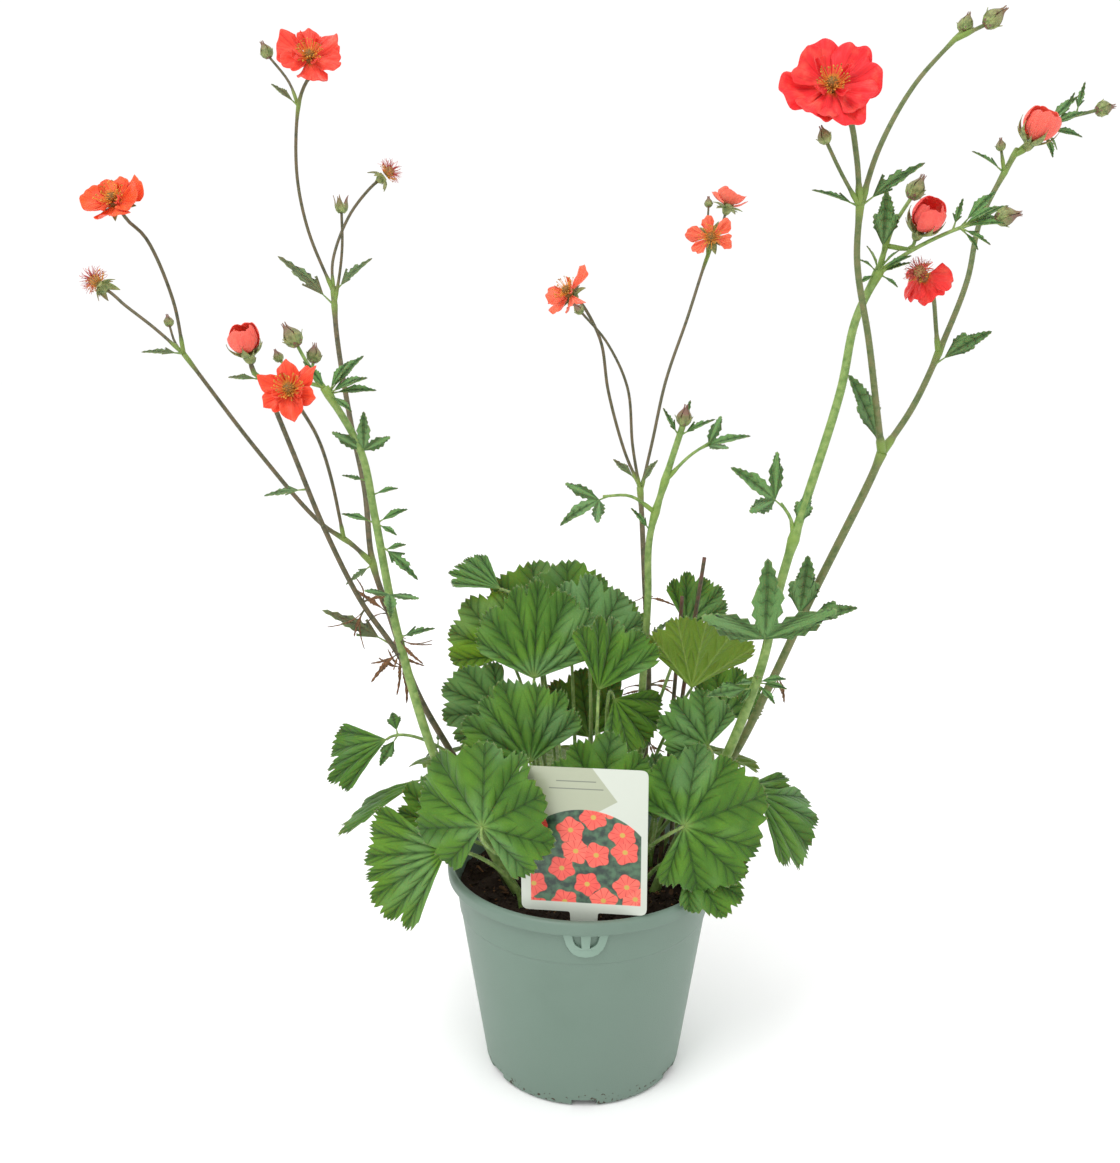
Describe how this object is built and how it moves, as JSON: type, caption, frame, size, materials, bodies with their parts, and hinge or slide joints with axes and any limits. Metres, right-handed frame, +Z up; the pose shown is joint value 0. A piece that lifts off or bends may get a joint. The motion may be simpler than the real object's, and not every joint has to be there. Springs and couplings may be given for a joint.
{
  "type": "potted geum in flower",
  "caption": "Flowering geum with tall branching stems, scarlet blooms and cut, toothed leaves, growing in a round nursery pot with compost and a blank plant label.",
  "frame": {"origin": "middle of the pot's foot, on the surface that it stands on", "axes": "+Z up along the pot's axis, -Y towards the side that the label faces, +X to the right seen from there"},
  "size_m": [0.5953, 0.2332, 0.6263],
  "materials": {
    "pot": "satin moulded plastic",
    "compost": "rough damp peat and bark",
    "label": "printed card, satin",
    "leaf": "hairy leaf, soft sheen",
    "green_stem": "hairy green stem",
    "brown_stem": "hairy brown stem",
    "petal": "soft translucent petal",
    "stamen": "dusty golden anthers",
    "dry_style": "fine dry styles"
  },
  "bodies": {
    "root": {"bloom_centre_high": "petal", "bloom_centre_left": "petal", "bloom_centre_low": "petal", "bloom_left_cup": "petal", "bloom_left_far": "petal", "bloom_left_front": "petal", "bloom_left_top": "petal", "bloom_right_big": "petal", "bloom_right_cup": "petal", "bloom_right_fading": "petal", "bloom_right_far": "petal", "centre_centre_left": "stamen", "centre_centre_low": "stamen", "centre_left_far": "stamen", "centre_left_front": "stamen", "centre_left_top": "stamen", "centre_right_big": "stamen", "compost": "compost", "label": "label", "leaf_back_left": "leaf", "leaf_back_left_tall": "leaf", "leaf_back_middle": "leaf", "leaf_back_middle_tall": "leaf", "leaf_back_right": "leaf", "leaf_back_right_tall": "leaf", "leaf_centre_behind": "leaf", "leaf_centre_low": "leaf", "leaf_centre_tall": "leaf", "leaf_front_left": "leaf", "leaf_front_right": "leaf", "leaf_label_right": "leaf", "leaf_left_bright": "leaf", "leaf_left_drooping": "leaf", "leaf_left_dull": "leaf", "leaf_left_pinnate": "leaf", "leaf_left_upper": "leaf", "leaf_middle_folded": "leaf", "leaf_middle_grey": "leaf", "leaf_middle_low": "leaf", "leaf_middle_upright": "leaf", "leaf_right_behind": "leaf", "leaf_right_dark": "leaf", "leaf_right_drooping": "leaf", "leaf_right_inner": "leaf", "leaf_right_top": "leaf", "leaf_right_underside": "leaf", "leaf_rim_left": "leaf", "leaf_rim_left_back": "leaf", "leaf_rim_right": "leaf", "pot": "pot", "seed_head_left": "dry_style", "seed_head_right": "dry_style", "seed_head_top": "dry_style", "stem_centre_brown": "brown_stem", "stem_centre_green": "green_stem", "stem_left_front": "green_stem", "stem_left_rear": "brown_stem", "stem_left_thin": "brown_stem", "stem_right_front": "green_stem", "stem_right_rear": "brown_stem"}
  },
  "joints": []
}
